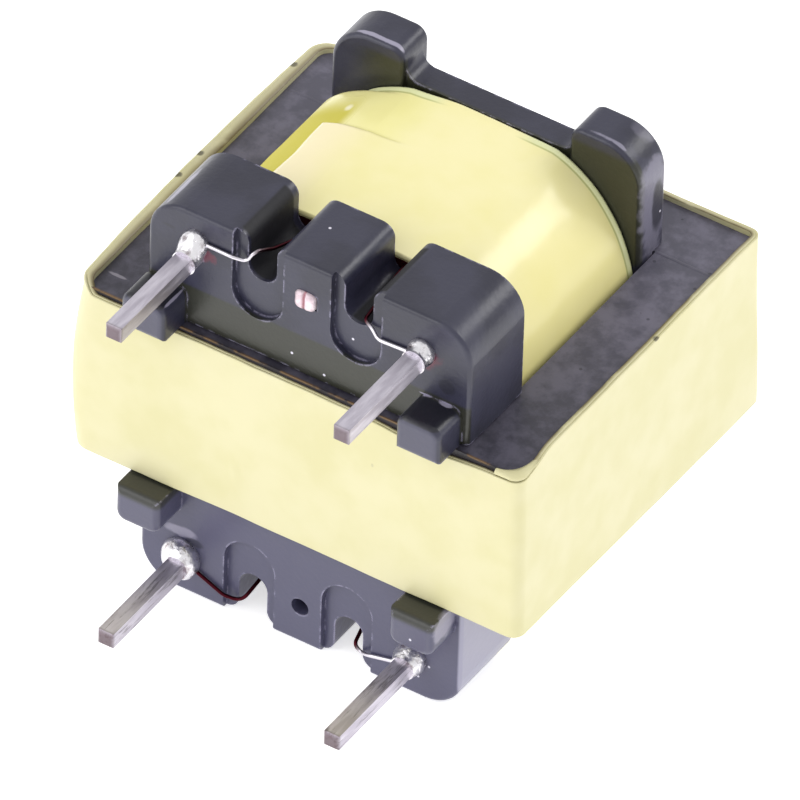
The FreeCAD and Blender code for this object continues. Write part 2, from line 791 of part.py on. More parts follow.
bobbin = make_bobbin()
nodes = [bobbin]
nodes.append(make_sheets("e_sheets_front", e_outline, -1, 1))
nodes.append(make_sheets("i_sheets_rear", i_outline, 1, 1))
nodes.append(make_sheets("e_sheets_rear", e_outline, 1, 0))
nodes.append(make_sheets("i_sheets_front", i_outline, -1, 0))
nodes.append(make_core_tape())
nodes += make_coil()
leads = make_leads()
nodes += leads
nodes.append(make_stub())
for row, up in ROWS:
    for side, hand in SIDES:
        place = (pin_x * hand, pin_z * up)
        nodes.append(make_pin(f"pin_{row}_{side}", *place, size("pinSide"), size("pinLength")))
        nodes.append(make_solder(f"{row}_{side}", *place, leads))

for node in nodes:
    node.setExpression("Placement.Base.y", forward.text)
    node.setExpression("Placement.Base.z", lift.text)
doc.recompute()
for item in doc.Objects:
    if "Invalid" in item.State or "Error" in item.State:
        raise RuntimeError(f"{item.Name} failed")

os.makedirs("parts", exist_ok=True)
for node in nodes:
    if node.Shape.isNull() or not node.Shape.isValid():
        raise RuntimeError(f"{node.Label} has no sound shape")
    node.Shape.exportStep(f"parts/{node.Label}.step")
    print(node.Label, len(node.Shape.Solids), round(node.Shape.Volume, 4))
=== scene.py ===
# %% [markdown]
# A small transformer for a printed board lies on its side. A dark bobbin holds
# the coil, a stack of thin steel sheets runs through and round it, and pale
# yellow tape covers both. The solids come ready-made in the frame, at their
# real size. They could be modelled again here, but that would only bring in
# errors, so this lesson gives them their finishes and makes only the soft and
# thin things as meshes of their own: tape, varnish and a cut pin's spread end.

# %% Load the frame
import math
import bpy
from mathutils import Vector, Matrix, noise


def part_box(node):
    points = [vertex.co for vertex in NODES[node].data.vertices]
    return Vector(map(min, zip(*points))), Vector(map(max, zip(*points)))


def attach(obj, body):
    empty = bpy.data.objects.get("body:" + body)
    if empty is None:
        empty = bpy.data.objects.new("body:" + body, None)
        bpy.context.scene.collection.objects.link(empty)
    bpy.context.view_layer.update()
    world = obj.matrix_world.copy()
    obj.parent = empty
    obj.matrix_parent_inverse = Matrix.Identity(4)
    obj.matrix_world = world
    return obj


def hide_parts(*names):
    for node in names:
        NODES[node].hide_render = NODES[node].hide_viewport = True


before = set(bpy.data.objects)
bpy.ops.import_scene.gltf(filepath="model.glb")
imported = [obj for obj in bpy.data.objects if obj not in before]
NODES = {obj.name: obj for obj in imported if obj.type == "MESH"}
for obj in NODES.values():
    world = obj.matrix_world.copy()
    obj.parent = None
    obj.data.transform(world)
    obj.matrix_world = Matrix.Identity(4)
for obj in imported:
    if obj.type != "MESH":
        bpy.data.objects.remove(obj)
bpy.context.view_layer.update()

# %% [markdown]
# All sizes below are millimetres, counted from the middle of the core, because
# a maker of such parts measures everything from there. Metres from the frame's
# own origin would do as well, but they are hard to read. One function turns a
# place into the frame's metres, and another asks where a node lies.

# %% Places counted from the middle of the core
MM = 0.001
SHEETS = ("e_sheets_front", "e_sheets_rear", "i_sheets_front", "i_sheets_rear")
core_low = Vector([min(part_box(name)[0][axis] for name in SHEETS) for axis in range(3)])
core_high = Vector([max(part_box(name)[1][axis] for name in SHEETS) for axis in range(3)])
MIDDLE = (core_low + core_high) / 2
CORE = (core_high - core_low) / 2 / MM


def place(x, y, z):
    """A place in mm from the core's middle, as metres in the frame."""
    return MIDDLE + Vector((x, y, z)) * MM


def span(node, axis):
    """A node's lowest and highest place along one axis, in mm from the middle."""
    low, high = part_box(node)
    return (low[axis] - MIDDLE[axis]) / MM, (high[axis] - MIDDLE[axis]) / MM


print("core half sizes in mm:", tuple(round(value, 3) for value in CORE))

# %% [markdown]
# A finish is a small network of nodes. Written out link by link it is hard to
# read, so a socket is wrapped in a class that Python can add and multiply.
# Each sum then adds its Math node, and `add` makes every other kind of node.

# %% A socket that can be used in a sum
class Wire:
    """The output of a node in a material, ready for use in a sum."""

    def __init__(self, tree, socket):
        self.tree = tree
        self.socket = socket

    def add(self, kind, settings=None, inputs=None, output=0):
        """Adds a node: its settings first, then values or links for its sockets."""
        node = self.tree.nodes.new("ShaderNode" + kind)
        for name, value in (settings or {}).items():
            setattr(node, name, value)
        for name, value in (inputs or {}).items():
            if isinstance(value, Wire):
                self.tree.links.new(value.socket, node.inputs[name])
            else:
                node.inputs[name].default_value = value
        return Wire(self.tree, node.outputs[output])

    def math(self, operation, first, second=0.0):
        return self.add("Math", {"operation": operation}, {0: first, 1: second})

    def __add__(self, other):
        return self.math("ADD", self, other)

    def __sub__(self, other):
        return self.math("SUBTRACT", self, other)

    def __rsub__(self, other):
        return self.math("SUBTRACT", other, self)

    def __mul__(self, other):
        return self.math("MULTIPLY", self, other)

    def __abs__(self):
        return self.math("ABSOLUTE", self)

    __radd__ = __add__
    __rmul__ = __mul__

    def larger(self, other):
        return self.math("MAXIMUM", self, other)

    def between(self, low, high):
        """0 below low, 1 above high, and a soft step between them."""
        return self.add("MapRange", {"interpolation_type": "SMOOTHSTEP"},
                        {"Value": self, "From Min": low, "From Max": high})

    def tinted(self, one, other):
        """Goes from colour one to colour other as this value goes from 0 to 1."""
        colour_a, colour_b, colour_result = 6, 7, 2
        return self.add("Mix", {"data_type": "RGBA"},
                        {0: self, colour_a: colour(one), colour_b: colour(other)}, colour_result)


print("a wire can", ", ".join(word for word in vars(Wire) if not word.startswith("_")))

# %% [markdown]
# Colours are judged on a screen, so they are given as screen values from 0 to
# 255 and turned into the linear values that light is worked out with. Linear
# numbers could be typed in, but nobody can read them as a colour.

# %% Colours
def colour(shade):
    """Screen values 0 to 255 as a linear colour; a Wire stays as it is."""
    if isinstance(shade, Wire):
        return shade
    linear = []
    for value in shade:
        part = value / 255
        linear.append(part / 12.92 if part <= 0.04045 else ((part + 0.055) / 1.055) ** 2.4)
    return (*linear, 1.0)


print("screen grey 128 is linear", round(colour((128,))[0], 3))

# %% [markdown]
# Dirt, wear and noise have real sizes, so every pattern is measured in
# millimetres from the middle of the core. UV maps could carry them, but the
# ready-made solids have none, and object coordinates need no unwrapping.

# %% Patterns in millimetres
class Patterns:
    """Noise, dots, blots and worn edges for one material."""

    def __init__(self, tree):
        self.tree = tree
        self.mm = Wire(tree, None).add("TexCoord", output="Object")
        self.mm = self.vectors("SUBTRACT", self.mm, MIDDLE)
        self.mm = self.mm.add("VectorMath", {"operation": "SCALE"}, {0: self.mm, "Scale": 1 / MM})
        self.wobble = self.cloud(0.35, 3)

    def vectors(self, operation, one, other, output="Vector"):
        return self.mm.add("VectorMath", {"operation": operation}, {0: one, 1: other}, output)

    def axis(self, letter):
        """X, Y or Z in mm from the middle of the core."""
        return self.mm.add("SeparateXYZ", None, {0: self.mm}, letter)

    def cloud(self, size, detail=2.0, rough=0.5, stretch=(1, 1, 1)):
        """Soft noise whose blotches are about `size` mm across, mostly 0.3 to 0.7."""
        where = self.vectors("MULTIPLY", self.mm, stretch)
        return self.mm.add("TexNoise", None, {"Vector": where, "Scale": 1 / size,
                                              "Detail": detail, "Roughness": rough})

    def specks(self, size, share, stretch=(1, 1, 1)):
        """Small dots, one here and there: 1 inside a dot and 0 elsewhere."""
        where = self.vectors("MULTIPLY", self.mm, stretch)
        spot = self.mm.add("TexVoronoi", None, {"Vector": where, "Scale": 1 / size})
        return 1 - spot.between(share * 0.7, share)

    def edges(self, radius):
        """0 on flat faces, rising towards 1 within `radius` mm of an edge."""
        soft = self.mm.add("Bevel", {"samples": 4}, {"Radius": radius * MM})
        plain = self.mm.add("NewGeometry", output="Normal")
        return 1 - self.vectors("DOT_PRODUCT", soft, plain, "Value")

    def patch(self, middle, reach, ragged=0.3):
        """1 inside a blot of half sizes `reach` round a place, with a ragged edge."""
        off = self.vectors("DIVIDE", self.vectors("SUBTRACT", self.mm, middle), reach)
        away = self.mm.add("VectorMath", {"operation": "LENGTH"}, {0: off}, "Value")
        return 1 - (away + (self.wobble - 0.5) * (ragged * 3)).between(0.7, 1.1)

    def slab(self, axis, low, high, soft=0.05):
        """1 between two places along an axis, with soft ends."""
        return axis.between(low - soft, low + soft) * (1 - axis.between(high - soft, high + soft))


print("patterns:", ", ".join(word for word in vars(Patterns) if not word.startswith("_")))

# %% [markdown]
# One Principled shader is enough for every surface here. What is the same all
# over a surface is set on the shader's own socket, and what changes from place
# to place is linked to it. Small relief is bump: it is far thinner than any
# mesh that could show it.

# %% A new finish
class Finish(Patterns):
    """A new material with one shader."""

    def __init__(self, name, **fixed):
        self.material = bpy.data.materials.new(name)
        self.material.use_nodes = True
        tree = self.material.node_tree
        tree.nodes.clear()
        super().__init__(tree)
        self.shader = tree.nodes.new("ShaderNodeBsdfPrincipled")
        out = tree.nodes.new("ShaderNodeOutputMaterial")
        tree.links.new(self.shader.outputs[0], out.inputs[0])
        for words, value in fixed.items():
            self.shader.inputs[words.replace("_", " ")].default_value = value

    def feed(self, **links):
        """Links wires to the shader's sockets."""
        for words, value in links.items():
            self.tree.links.new(value.socket, self.shader.inputs[words.replace("_", " ")])

    def relief(self, height, depth):
        """Bump from a 0 to 1 height field, `depth` mm deep."""
        bump = self.mm.add("Bump", None, {"Height": height, "Distance": depth * MM, "Strength": 1.0})
        self.feed(Normal=bump)

    def on(self, *objects):
        """Puts the finish on objects, in place of what they had."""
        for obj in objects:
            obj.data.materials.clear()
            obj.data.materials.append(self.material)
        print(self.material.name, "is on", ", ".join(obj.name for obj in objects))


print("a finish can", ", ".join(word for word in vars(Finish) if not word.startswith("_")))

# %% [markdown]
# The camera is a long lens, because the far edges of the core run almost
# parallel in the photograph. It could be turned by eye, but azimuth, elevation
# and roll solved from the corners of the core, rails and pins fit much closer.
# The middle of the core then lies a few pixels off the middle of the frame.

# %% Camera
CAMERA_AZIMUTH = 31.6
CAMERA_ELEVATION = 41.5
CAMERA_ROLL = 1.9
CAMERA_DISTANCE = 937.0
PIXELS_PER_MM = 36.33
FRAME_PIXELS = 800
AIM_FROM_CENTRE = (15.28, 56.5)
AIM = place(0, -0.15, 0)

azimuth, elevation, roll = (math.radians(angle) for angle in (
    CAMERA_AZIMUTH, CAMERA_ELEVATION, CAMERA_ROLL))
backward = Vector((math.sin(azimuth) * math.cos(elevation),
                   -math.cos(azimuth) * math.cos(elevation), math.sin(elevation)))
level = Vector((math.cos(azimuth), math.sin(azimuth), 0))
upright = backward.cross(level)
right = level * math.cos(roll) + upright * math.sin(roll)
up = backward.cross(right)
centre = AIM - (right * AIM_FROM_CENTRE[0] + up * AIM_FROM_CENTRE[1]) * MM / PIXELS_PER_MM
lens = bpy.data.cameras.new("camera")
camera = bpy.data.objects.new("camera", lens)
bpy.context.scene.collection.objects.link(camera)
turn = Matrix((right, up, backward)).transposed().to_4x4()
camera.matrix_world = Matrix.Translation(centre + backward * CAMERA_DISTANCE * MM) @ turn
lens.sensor_width = 36
lens.lens = lens.sensor_width * CAMERA_DISTANCE / (FRAME_PIXELS / PIXELS_PER_MM)
bpy.context.scene.camera = camera
print("view is", round(FRAME_PIXELS / PIXELS_PER_MM, 2), "mm wide, lens", round(lens.lens), "mm")

# %% [markdown]
# The photograph was lit by a bright room of white paper: everything pale goes
# almost white, and dark glossy faces mirror whatever they point at. Many lamps
# could imitate that, but a white world does most of it by itself. A large soft
# panel from the front left makes the front faces lighter than the tops, and
# one from the back right gives the coil its bright spot.

# %% Light
WORLD_STRENGTH = 0.88
PANEL_DISTANCE = 160


def panel(name, toward, side, power):
    """A square soft light, `side` mm wide, that faces the middle of the part."""
    data = bpy.data.lights.new(name, "AREA")
    data.size = side * MM
    data.energy = power
    light = bpy.data.objects.new(name, data)
    bpy.context.scene.collection.objects.link(light)
    direction = Vector(toward).normalized()
    light.location = MIDDLE + direction * PANEL_DISTANCE * MM
    light.rotation_euler = direction.to_track_quat("Z", "Y").to_euler()
    print(name, "is", side, "mm wide, at", [round(part, 2) for part in direction])


world = bpy.data.worlds.new("white_room")
world.use_nodes = True
world.node_tree.nodes["Background"].inputs["Color"].default_value = (1.0, 1.0, 1.0, 1)
world.node_tree.nodes["Background"].inputs["Strength"].default_value = WORLD_STRENGTH
bpy.context.scene.world = world
bpy.context.scene.view_settings.view_transform = "Standard"
panel("front_panel", toward=(-0.75, -1.0, 0.75), side=120, power=0.08)
panel("back_panel", toward=(0.52, 0.64, 0.57), side=60, power=0.05)

# %% [markdown]
# The part lies on white paper, and in the photograph its shadow is burnt away.
# More light would bleach the part too, so the paper itself glows a little.

# %% Floor
FLOOR_SIDE = 1.2
PAPER_GLOW = 0.58

half = FLOOR_SIDE / 2
floor_mesh = bpy.data.meshes.new("floor")
floor_mesh.from_pydata([(-half, -half, 0), (half, -half, 0), (half, half, 0), (-half, half, 0)],
                       [], [(0, 1, 2, 3)])
floor = bpy.data.objects.new("floor", floor_mesh)
bpy.context.scene.collection.objects.link(floor)
paper = Finish("white_paper", Roughness=0.9, Emission_Color=(1, 1, 1, 1), Emission_Strength=PAPER_GLOW)
paper.feed(Base_Color=paper.cloud(40).tinted((250, 250, 251), (253, 253, 253)))
paper.on(floor)

# %% [markdown]
# A mesh piece here is a grid: rows of points that run round or along it. Each
# could be sculpted by hand, but a grid keeps a place in mm for every point, so
# it can be shaped by formulas. One helper makes the object, and the other
# joins neighbouring rows with quads and can close the grid either way round.

# %% A grid of points as a piece
def new_piece(name, points, faces, finish):
    """A smooth mesh object that rides on the one body and has its finish."""
    mesh = bpy.data.meshes.new(name)
    mesh.from_pydata([place(*point) for point in points], [], faces)
    mesh.polygons.foreach_set("use_smooth", [True] * len(mesh.polygons))
    mesh.update()
    piece = bpy.data.objects.new(name, mesh)
    bpy.context.scene.collection.objects.link(piece)
    finish.on(piece)
    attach(piece, "root")
    print(name, "has", len(faces), "faces")
    return piece


def grid_faces(rows, columns, close_rows=False, close_columns=True):
    """The quads between rows of points that were listed row by row."""
    faces = []
    for row in range(rows if close_rows else rows - 1):
        below = row * columns
        above = (row + 1) % rows * columns
        for column in range(columns if close_columns else columns - 1):
            beside = (column + 1) % columns
            faces.append((below + column, below + beside, above + beside, above + column))
    return faces


print("a tube of 3 rings of 4 points has", len(grid_faces(3, 4)), "faces")

# %% [markdown]
# Film, wrap and varnish are never quite even. Their formulas need three small
# things: a step with soft ends, a direction from an angle, and a wandering
# number. Random numbers would jump from point to point, so the wandering comes
# from smooth noise, which also gives the same result each time.

# %% Soft steps and ripples
def soft_step(value, low, high):
    """0 below low, 1 above high, and a smooth rise between them."""
    share = min(1.0, max(0.0, (value - low) / (high - low)))
    return share * share * (3 - 2 * share)


def heading(angle):
    """A direction in the plane of the sheets."""
    return Vector((math.cos(angle), math.sin(angle)))


def ripple(x, y, z, size, seed=0.0):
    """Smooth noise from -1 to 1 with waves about `size` mm long."""
    return noise.noise(Vector((x, y, z)) / size + Vector((seed, seed * 1.7, -seed)))


print("soft step half way:", soft_step(0.5, 0, 1))

# %% [markdown]
# The bobbin was handled, soldered and wound, and each step left its marks:
# scuffs, dust, and red rings where enamel burnt off at two pins. The pale
# patches are scuffs and painted highlights, the pale specks are dust and one
# painted highlight, and the dark patches make the colour darker in given
# places. Noise alone could strew such marks, but then none would lie where the
# real ones do, so they are listed: the middle, the half sizes and the strength.

# %% Marks on the bobbin
PALE_SCUFFS_AND_HIGHLIGHTS = (
    ((-4.8, -4.7, 6.65), (0.12, 0.9, 0.14), 0.8),
    ((5.05, 3.9, 4.9), (0.2, 0.75, 2.3), 0.4),
    ((5.05, -6.3, -3.3), (0.3, 0.6, 0.5), 0.6),
    ((3.86, -5.75, 4.13), (0.24, 0.1, 0.035), 1.0),
    ((4.52, -5.8, 4.14), (0.22, 0.1, 0.035), 1.0),
    ((-4.05, -6.3, 4.07), (0.04, 0.5, 0.1), 0.8),
    ((-3.95, -5.8, -4.8), (0.6, 0.3, 0.22), 0.6),
    ((-3.5, 3.33, 6.84), (1.0, 0.09, 0.14), 0.9),
    ((3.9, 3.33, 6.8), (0.8, 0.09, 0.14), 0.6),
    ((-5.1, 3.6, 6.3), (0.3, 0.5, 0.5), 0.4),
    ((4.4, 4.3, 6.7), (0.5, 0.3, 0.3), 0.2),
)
DARK_MARKS = (
    ((5.05, 4.1, 4.5), (0.3, 0.33, 1.0), 0.9),
    ((4.65, 3.87, 6.55), (0.4, 0.35, 0.3), 0.6),
    ((-3.5, -5.8, -5.0), (0.35, 0.3, 0.16), 0.6),
    ((4.5, -5.75, 4.75), (0.28, 0.2, 0.3), 0.7),
    ((-4.6, -5.8, 6.1), (0.3, 0.1, 0.08), 0.7),
)
WHITE_DUST_AND_GLINTS = (
    (5.05, 4.23, 4.19), (-0.41, -4.13, 6.9), (1.32, -5.55, 4.75), (0.55, -5.75, 3.2),
    (-0.51, -5.75, 3.48), (4.23, -5.75, -5.67), (3.89, -5.75, -6.18), (4.33, -6.95, -3.73),
)
SPECK_REACH = (0.045, 0.045, 0.045)
ENAMEL_RINGS = ((-3.62, -5.8, 5.62), (3.8, -5.8, 5.45))
RING_REACH = (0.5, 0.2, 0.36)


def bobbin_marks(finish, base):
    """The listed marks, painted over a colour."""
    # pale patches: scuffs, and painted highlights on the horns' top front edges and on the upper tabs
    for middle, reach, strength in PALE_SCUFFS_AND_HIGHLIGHTS:
        base = (finish.patch(middle, reach) * strength).tinted(base, (160, 156, 176))
    # dark patches: the colour is made darker in the given places
    for middle, reach, strength in DARK_MARKS:
        base = (finish.patch(middle, reach, 0.12) * strength).tinted(base, (34, 34, 46))
    for middle in ENAMEL_RINGS:
        base = (finish.patch(middle, RING_REACH, 0.5) * 0.6).tinted(base, (120, 34, 58))
    # pale specks: dust, and one painted highlight on the floor of a pocket beside a notch
    for middle in WHITE_DUST_AND_GLINTS:
        base = finish.patch(middle, SPECK_REACH, 0.1).tinted(base, (215, 212, 225))
    return base


print("marks:", len(PALE_SCUFFS_AND_HIGHLIGHTS), "pale,", len(DARK_MARKS), "dark,", len(WHITE_DUST_AND_GLINTS), "specks")

# %% [markdown]
# The same dark plastic looks different on each face, because each mirrors
# something else. The lower rail looks lilac; the foot of the upper rail, the
# right horn and the lower tabs look olive; the notches lie in shade and are
# nearly black, and the tops of the upper tabs are painted nearly black too. The
# things that they mirror could be built as cards round the part, but they
# would show in other views, so each face gets its painted reflection or shade
# as a tint by its place.

# %% Painted reflections and shade on the bobbin's faces
TAB_FRONT = span("bobbin", 1)[0]
RAIL_FRONT = -5.75
NOTCHES = ((-2.42, -1.38), (1.22, 2.28))
LOWER_RAIL_REFLECTION, TAB_FRONT_REFLECTION, LOWER_SIDE_REFLECTION = (80, 79, 104), (86, 85, 104), (158, 156, 176)
OLIVE_REFLECTION, NOTCH_PAINTED_SHADE, TAB_BLACK = (40, 41, 24), (10, 9, 14), (16, 16, 22)


def painted_reflections_and_shade(finish, base):
    """The colour with painted reflections and shade, and the mask of the notches' insides."""
    across, deep, high = map(finish.axis, "XYZ")
    lower_rail = 1 - high.between(-3.2, -2.6)
    tabs = 1 - deep.between(RAIL_FRONT - 0.15, RAIL_FRONT - 0.05)
    tab_fronts = 1 - deep.between(TAB_FRONT + 0.01, TAB_FRONT + 0.07)
    # painted reflections: the lower rail, the tab fronts and the lower rail's right side turn lilac
    base = (lower_rail * 0.85).tinted(base, LOWER_RAIL_REFLECTION)
    base = (tab_fronts * 0.6).tinted(base, TAB_FRONT_REFLECTION)
    base = (lower_rail * across.between(5.12, 5.2) * 0.9).tinted(base, LOWER_SIDE_REFLECTION)

    foot = high.between(2.6, 2.7) * (1 - high.between(4.2, 4.32))
    foot = foot * finish.slab(deep, RAIL_FRONT - 0.1, RAIL_FRONT + 0.1)
    horn = finish.slab(deep, 2.9, 3.4) * finish.slab(high, 2.9, 6.5, 0.12) * across.between(-4.7, -3.1)
    lower_tabs = tabs * high.between(-3.3, -3.1) * (1 - high.between(0, 1))
    # painted reflection: olive on the upper rail's foot, the horns and the lower tabs
    base = (foot.larger(horn).larger(lower_tabs) * 0.85).tinted(base, OLIVE_REFLECTION)

    left, right_hand = (finish.slab(across, low, top) for low, top in NOTCHES)
    inside = left.larger(right_hand) * finish.slab(deep, -5.45, -3.3) * high.between(4.6, 4.8)
    # painted shade: the insides of the notches go nearly black
    base = (inside * 0.9).tinted(base, NOTCH_PAINTED_SHADE)
    upper_tab_tops = tabs * finish.slab(high, 4.06, 4.3, 0.03)
    return (upper_tab_tops * 0.8).tinted(base, TAB_BLACK), inside


print("tab fronts lie at", round(TAB_FRONT, 2), "mm, the rail's face at", RAIL_FRONT, "mm")

# %% [markdown]
# The bobbin is moulded from a filled dark plastic: nearly black with a blue
# cast, smooth enough to mirror the white paper, and pale along its edges, with
# scuffs and painted highlights. These could be painted by hand, but edges can
# also be found by comparing the real normal with the one that a Bevel node
# rounds off, and a noise that breaks them up keeps them from looking drawn.

# %% Bobbin moulding
def bobbin_finish():
    finish = Finish("bobbin_moulding", IOR=1.54)
    blotch = finish.cloud(1.6, 3)
    grain = finish.cloud(0.16, 2)
    base = blotch.between(0.35, 0.65).tinted((38, 38, 54), (50, 50, 68))
    base, inside = painted_reflections_and_shade(finish, base)
    base = bobbin_marks(finish, base)
    # pale edges: scuffs, and painted highlights along the edges
    edge_scuffs_and_highlights = finish.edges(0.1).between(0.012, 0.07) * finish.cloud(0.45, 4, 0.7).between(0.47, 0.6)
    base = (edge_scuffs_and_highlights * 0.75).tinted(base, (160, 156, 182))
    finish.feed(Base_Color=base, Roughness=0.2 + blotch * 0.2 + grain * 0.06 + inside * 0.3)
    finish.relief(grain * 0.6 + blotch * 0.4, 0.012)
    return finish


bobbin_finish().on(NODES["bobbin"])

# %% [markdown]
# The core is a pack of thin steel sheets. Its top is one flat sheet with a
# dull varnish, mottled grey with a purple cast and lighter towards the rear.
# Varnish could be a clear coat over metal, but here it hides the metal's
# shine, so soft clouds of greys, a few dark marks and one scratch are enough.
# Along the front edge the cut face is painted dark as shade, with a thin
# brownish painted highlight along the top sheet's edge.

# %% Core sheets
SCRATCH, SCRATCH_REACH = (-6.5, -5.2, 2.9), (0.3, 0.06, 0.2)


def core_finish():
    finish = Finish("core_sheet_steel", Metallic=0.0, IOR=1.5)
    across, deep, high = map(finish.axis, "XYZ")
    mottle = finish.cloud(0.6, 5, 0.66)
    shade = (mottle * 0.6 + finish.cloud(3.0, 2) * 0.4).between(0.4, 0.62)
    rearward = (across * 0.03 + deep * 0.14).between(-0.75, 0.6)
    base = shade.tinted((50, 48, 60), (80, 77, 91))
    base = (rearward * 0.75).tinted(base, shade.tinted((88, 86, 100), (116, 113, 129)))
    base = (finish.specks(0.7, 0.09) * 0.6).tinted(base, (40, 38, 46))
    # painted shade: the front face of the sheets is darkened
    front_edge = 1 - deep.between(-CORE.y + 0.01, -CORE.y + 0.07)
    base = (front_edge * 0.85).tinted(base, (38, 34, 40))
    # painted highlight: a thin brownish line along the top sheet's front edge
    top_edge_highlight = finish.slab(high, 2.84, 2.92, 0.01) * front_edge * mottle.between(0.42, 0.55)
    base = (top_edge_highlight * 0.8).tinted(base, (120, 92, 58))
    base = (finish.patch(SCRATCH, SCRATCH_REACH, 0.5) * 0.5).tinted(base, (170, 165, 175))
    finish.feed(Base_Color=base, Roughness=0.32 + mottle * 0.25)
    finish.relief(mottle, 0.012)
    return finish


sheet_steel = core_finish()
sheet_steel.on(*(NODES[name] for name in SHEETS))

# %% [markdown]
# Both tapes are thin polyester film with a yellow backing. Film over film is
# slightly uneven, so its colour drifts between cream and lemon, it has a soft
# gloss, and faint smudges and grains of dust sit on it. Light that shines
# through film could be worked out, but two turns over dark steel let none
# through, so an opaque finish looks the same.

# %% What both tapes share
def tape_finish(name, pale, strong, gloss):
    """A tape's finish, with its drifting colour and its roughness."""
    finish = Finish(name, IOR=1.48)
    fine = finish.cloud(0.8, 3)
    smudge = finish.specks(1.5, 0.035, stretch=(1, 1, 0.6))
    base = (finish.cloud(3.4, 2) * 0.7 + fine * 0.3).between(0.35, 0.65).tinted(pale, strong)
    base = (smudge * 0.3).tinted(base, (150, 145, 120))
    print(name, "goes from", pale, "to", strong)
    return finish, base, gloss + fine * 0.12


# %% [markdown]
# The coil's tape lies in one layer and, over most of the top, in two. Where
# one layer lies over the slack left side it is painted gold, as shade and
# bounced light; where two lie it is creamier. The mesh knows how many layers
# lie at a point and stores it as an attribute, which is surer than a mask that
# guesses it from the place.

# %% Finish of the coil's tape
def coil_tape_finish(rear_edge):
    finish, base, roughness = tape_finish("coil_tape", (243, 235, 180), (239, 231, 166), 0.14)
    across, deep = map(finish.axis, "XY")
    cover = finish.mm.add("Attribute", {"attribute_name": "cover"}, output="Fac")
    bare = 1 - cover
    left = 1 - across.between(-3.6, -3.2)
    base = (bare * 0.5).tinted(base, (236, 230, 146))
    # painted shade and bounced light: the single layer over the slack left side is tinted gold
    gold_painted_shade = bare * left * (1 - deep.between(rear_edge - 1.6, rear_edge - 0.4))
    base = (gold_painted_shade * 0.95).tinted(base, (200, 190, 66))
    # painted shade: the right side of the wrap is tinted a deeper yellow
    base = (across.between(2.6, 4.8) * 0.6).tinted(base, (240, 229, 148))
    cream = cover * (1 - across.between(-3.6, -1.6))
    base = (cream * 0.7).tinted(base, (248, 234, 196))
    # painted highlight: a bright spot on the slack tape near the left rear
    base = finish.patch((-3.62, 1.91, 5.1), (0.2, 0.3, 0.3), 0.1).tinted(base, (255, 250, 228))
    # painted highlight: a pale band on the tape's raised rear lip, with a painted shade line along its
    # front
    lip = abs(across).between(1.0, 1.8) * deep.between(rear_edge - 0.26, rear_edge - 0.2)
    base = (lip * 0.7).tinted(base, (214, 222, 176))
    lip_shade_line = lip * (1 - deep.between(rear_edge - 0.2, rear_edge - 0.15))
    base = (lip_shade_line * 0.7).tinted(base, (168, 168, 92))
    finish.feed(Base_Color=base, Roughness=roughness + gold_painted_shade * 0.5)
    finish.relief(finish.cloud(1.0, 2), 0.012)
    return finish


COIL_FRONT, COIL_REAR = span("coil_tape", 1)
coil_film = coil_tape_finish(COIL_REAR)

# %% [markdown]
# The wrap is a soft barrel: flat on top, with round shoulders. On its left it
# hangs slack and bulges out over the core. A bent tube could start it, but a
# formula for its section gives the flat top, the shoulders and the slack in
# one go: an ellipse whose halves are moved apart, and a push to the left.

# %% Section of the coil's wrap
COIL_TOP = span("secondary_winding", 2)[1] + 0.12
COIL_SIDE = 4.95
SHOULDER_WIDE, SHOULDER_TALL = 3.2, 4.6
FLAT_BLEND = 6
LEFT_RIM, LEFT_BULGE = 0.22, 0.82


def coil_point(angle, y, outward):
    """A point of the wrap's section, pushed out of it; the left side is slack over the core."""
    across, rise = math.cos(angle), math.sin(angle)
    flat_x = math.copysign(COIL_SIDE - SHOULDER_WIDE, across) * min(1, abs(across) * FLAT_BLEND)
    flat_z = math.copysign(COIL_TOP - SHOULDER_TALL, rise) * min(1, abs(rise) * FLAT_BLEND)
    x = flat_x + SHOULDER_WIDE * across
    z = flat_z + SHOULDER_TALL * rise
    if x < 0 and z > 0:
        slack = LEFT_RIM + (LEFT_BULGE - LEFT_RIM) * soft_step(COIL_REAR - y, 0.26, 0.36)
        x -= slack * soft_step(z, 2.6, 3.2) * soft_step(-across, 0.15, 0.75)
    normal = Vector((across / SHOULDER_WIDE, 0, rise / SHOULDER_TALL)).normalized()
    return x + normal.x * outward, z + normal.z * outward


print("wrap is", round(2 * COIL_TOP, 2), "mm tall and", round(COIL_REAR - COIL_FRONT, 2), "mm long")

# %% [markdown]
# The second layer of tape ends in a step before the rear flange and in another
# at the left, and the tape's rear edge curls up into a lip. A second mesh could
# lie on the first, but two films so close would shimmer through each other, so
# the layers push the one surface outward instead.

# %% Layers of the coil's tape
LAYER = 0.1
OVERLAP_REAR, OVERLAP_LEFT = 1.0, -3.95
LIP_HEIGHT, LIP_WIDTH = 0.05, 0.06


def coil_layers(x, y, z):
    """How far the tape pushes the surface out at a place, in mm, and where the top layer lies."""
    rear = OVERLAP_REAR + 0.35 * ripple(x, 0, z, 3.0, 4.0) + 0.25 * soft_step(-x, 2.0, 4.2)
    left = OVERLAP_LEFT + 0.3 * ripple(0, y, 0, 2.2, 9.0)
    overlap = soft_step(rear - y, 0.0, 0.14) * soft_step(x - left, 0.0, 0.16)
    cover = max(overlap, soft_step(x, -2.2, -0.7))
    lip = LIP_HEIGHT * math.exp(-((COIL_REAR - 0.05 - y) / LIP_WIDTH) ** 2)
    wave = 0.022 * ripple(x, y, z, 1.9, 2.0) + 0.008 * ripple(x, y, z, 0.7, 5.0)
    return LAYER * cover + lip + wave, cover


print("second layer covers", [round(coil_layers(x, 0, COIL_TOP)[1], 2) for x in (-4.5, 0, 4.5)])

